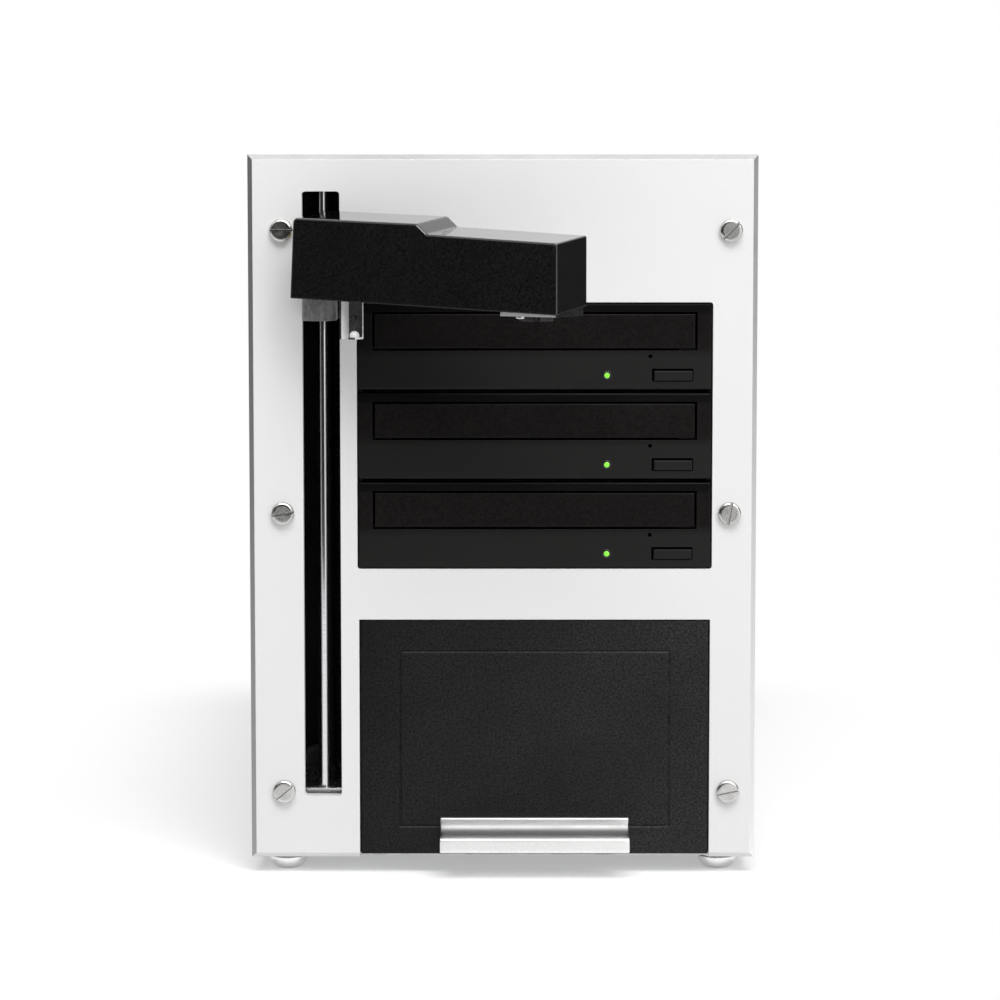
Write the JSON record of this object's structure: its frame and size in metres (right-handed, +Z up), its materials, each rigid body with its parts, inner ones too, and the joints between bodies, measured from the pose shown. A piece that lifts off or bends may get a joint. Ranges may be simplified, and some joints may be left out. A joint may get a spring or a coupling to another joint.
{
  "type": "robotic disc duplicator",
  "caption": "Tower that copies discs: an arm lifts along a slot and swings to move discs with a claw gripper between tray drives and a sliding drawer.",
  "frame": {"origin": "on the table, under the middle of the space the machine takes up with its arm over the tray", "axes": "+X to the right of someone facing the machine, +Y to its back, +Z up"},
  "size_m": [0.2142, 0.4683, 0.3056],
  "materials": {
    "panel_white": "satin",
    "cover_white": "satin",
    "sheet_steel": "satin",
    "nickel": "polished",
    "foot_silver": "satin",
    "black_plastic": "matte",
    "gloss_black": "gloss",
    "board_green": "satin",
    "drive_black": "satin",
    "tray_grey": "matte",
    "light_green": "gloss",
    "drawer_black": "matte",
    "handle_aluminium": "satin",
    "column_black": "matte",
    "rod_chrome": "polished",
    "belt_rubber": "matte",
    "cast_grey": "satin",
    "brass": "satin",
    "arm_black": "satin",
    "bright_aluminium": "satin"
  },
  "bodies": {
    "cabinet": {"front_panel": "panel_white", "base_pan": "sheet_steel", "wrap_cover": "cover_white", "cover_screws": "nickel", "feet": "foot_silver", "panel_screws": "nickel", "rear_panel": "sheet_steel", "power_inlet": "black_plastic", "data_port": "nickel", "fan_frame": "black_plastic", "drive_cage": "column_black", "controller_board": "board_green", "power_supply": "sheet_steel", "drive_lights": "light_green", "outer_runners": "sheet_steel", "lift_column": "column_black", "rod_blocks": "cast_grey", "guide_rods": "rod_chrome", "lift_motor": "column_black", "lift_belt": "belt_rubber", "drive_1_housing": "sheet_steel", "drive_1_face": "drive_black", "drive_2_housing": "sheet_steel", "drive_2_face": "drive_black", "drive_3_housing": "sheet_steel", "drive_3_face": "drive_black"},
    "carriage": {"lift_carriage": "cast_grey", "carriage_bushes": "brass", "pivot_pin": "nickel", "swing_gear": "brass"},
    "arm": {"arm_frame": "bright_aluminium", "arm_cover": "arm_black", "arm_screws": "nickel", "swing_motor": "nickel", "sensor_bracket": "bright_aluminium", "gripper_housing": "black_plastic", "gripper_solenoid": "column_black"},
    "swing_pinion": {"swing_pinion": "brass"},
    "plunger": {"gripper_plunger": "nickel"},
    "lift_pulley": {"lift_pulley": "cast_grey"},
    "idler_pulley": {"idler_pulley": "cast_grey"},
    "drawer": {"drawer_front": "drawer_black", "drawer_handle": "handle_aluminium", "drawer_bin": "black_plastic", "inner_runners": "sheet_steel"},
    "middle_runners": {"middle_runners": "sheet_steel"},
    "fan_rotor": {"fan_rotor": "black_plastic"},
    "power_rocker": {"power_rocker": "gloss_black"},
    "claw_1": {"gripper_claw_1": "black_plastic"},
    "tray_1": {"drive_1_tray": "tray_grey", "drive_1_tray_door": "drive_black"},
    "eject_button_1": {"drive_1_eject_button": "drive_black"},
    "claw_2": {"gripper_claw_2": "black_plastic"},
    "tray_2": {"drive_2_tray": "tray_grey", "drive_2_tray_door": "drive_black"},
    "eject_button_2": {"drive_2_eject_button": "drive_black"},
    "claw_3": {"gripper_claw_3": "black_plastic"},
    "tray_3": {"drive_3_tray": "tray_grey", "drive_3_tray_door": "drive_black"},
    "eject_button_3": {"drive_3_eject_button": "drive_black"}
  },
  "joints": [
    {"name": "arm_lift", "type": "slide", "parent": "cabinet", "child": "carriage", "axis": [0, 0, 1], "range_m": [-0.2, 0.012]},
    {"name": "arm_swing", "type": "hinge", "parent": "carriage", "child": "arm", "pos_m": [-0.07635, -0.164, 0.25], "axis": [0, 0, 1], "range_deg": [-35, 30]},
    {"name": "pinion_spin", "type": "hinge", "parent": "arm", "child": "swing_pinion", "pos_m": [-0.06241, -0.17205, 0.26], "axis": [0, 0, 1], "range_deg": [-56, 48]},
    {"name": "plunger_drop", "type": "slide", "parent": "arm", "child": "plunger", "axis": [0, 0, -1], "range_m": [0, 0.002], "stiffness_N_per_m": 120, "springref_m": -0.001},
    {"name": "lift_pulley_spin", "type": "hinge", "parent": "cabinet", "child": "lift_pulley", "pos_m": [-0.08265, -0.0758, 0.0302], "axis": [0, 1, 0], "continuous": true},
    {"name": "idler_pulley_spin", "type": "hinge", "parent": "cabinet", "child": "idler_pulley", "pos_m": [-0.08265, -0.0758, 0.2872], "axis": [0, 1, 0], "continuous": true},
    {"name": "drawer_slide", "type": "slide", "parent": "cabinet", "child": "drawer", "axis": [0, -1, 0], "range_m": [0, 0.2642]},
    {"name": "middle_runner_slide", "type": "slide", "parent": "cabinet", "child": "middle_runners", "axis": [0, -1, 0], "range_m": [0, 0.1325]},
    {"name": "fan_spin", "type": "hinge", "parent": "cabinet", "child": "fan_rotor", "pos_m": [0.01345, 0.2154, 0.1122], "axis": [0, 1, 0], "continuous": true},
    {"name": "power_rock", "type": "hinge", "parent": "cabinet", "child": "power_rocker", "pos_m": [-0.08265, 0.22935, 0.2495], "axis": [1, 0, 0], "range_deg": [0, 16]},
    {"name": "claw_1_spread", "type": "slide", "parent": "arm", "child": "claw_1", "axis": [0.866, -0.5, 0], "range_m": [0, 0.0005]},
    {"name": "tray_1_slide", "type": "slide", "parent": "cabinet", "child": "tray_1", "axis": [0, -1, 0], "range_m": [0, 0.1361]},
    {"name": "eject_1_press", "type": "slide", "parent": "cabinet", "child": "eject_button_1", "axis": [0, 1, 0], "range_m": [0, 0.001], "stiffness_N_per_m": 500, "springref_m": -0.0005},
    {"name": "claw_2_spread", "type": "slide", "parent": "arm", "child": "claw_2", "axis": [0, 1, 0], "range_m": [0, 0.0005]},
    {"name": "tray_2_slide", "type": "slide", "parent": "cabinet", "child": "tray_2", "axis": [0, -1, 0], "range_m": [0, 0.1361]},
    {"name": "eject_2_press", "type": "slide", "parent": "cabinet", "child": "eject_button_2", "axis": [0, 1, 0], "range_m": [0, 0.001], "stiffness_N_per_m": 500, "springref_m": -0.0005},
    {"name": "claw_3_spread", "type": "slide", "parent": "arm", "child": "claw_3", "axis": [-0.866, -0.5, 0], "range_m": [0, 0.0005]},
    {"name": "tray_3_slide", "type": "slide", "parent": "cabinet", "child": "tray_3", "axis": [0, -1, 0], "range_m": [0, 0.1361]},
    {"name": "eject_3_press", "type": "slide", "parent": "cabinet", "child": "eject_button_3", "axis": [0, 1, 0], "range_m": [0, 0.001], "stiffness_N_per_m": 500, "springref_m": -0.0005}
  ],
  "couplings": [
    {"joint": "pinion_spin", "follows": "arm_swing", "ratio": 1.5556},
    {"joint": "lift_pulley_spin", "follows": "arm_lift", "rad_per_m": -110.5},
    {"joint": "idler_pulley_spin", "follows": "arm_lift", "rad_per_m": -110.5},
    {"joint": "middle_runner_slide", "follows": "drawer_slide", "ratio": 0.5},
    {"joint": "claw_1_spread", "follows": "plunger_drop", "ratio": 0.25},
    {"joint": "claw_2_spread", "follows": "plunger_drop", "ratio": 0.25},
    {"joint": "claw_3_spread", "follows": "plunger_drop", "ratio": 0.25}
  ]
}
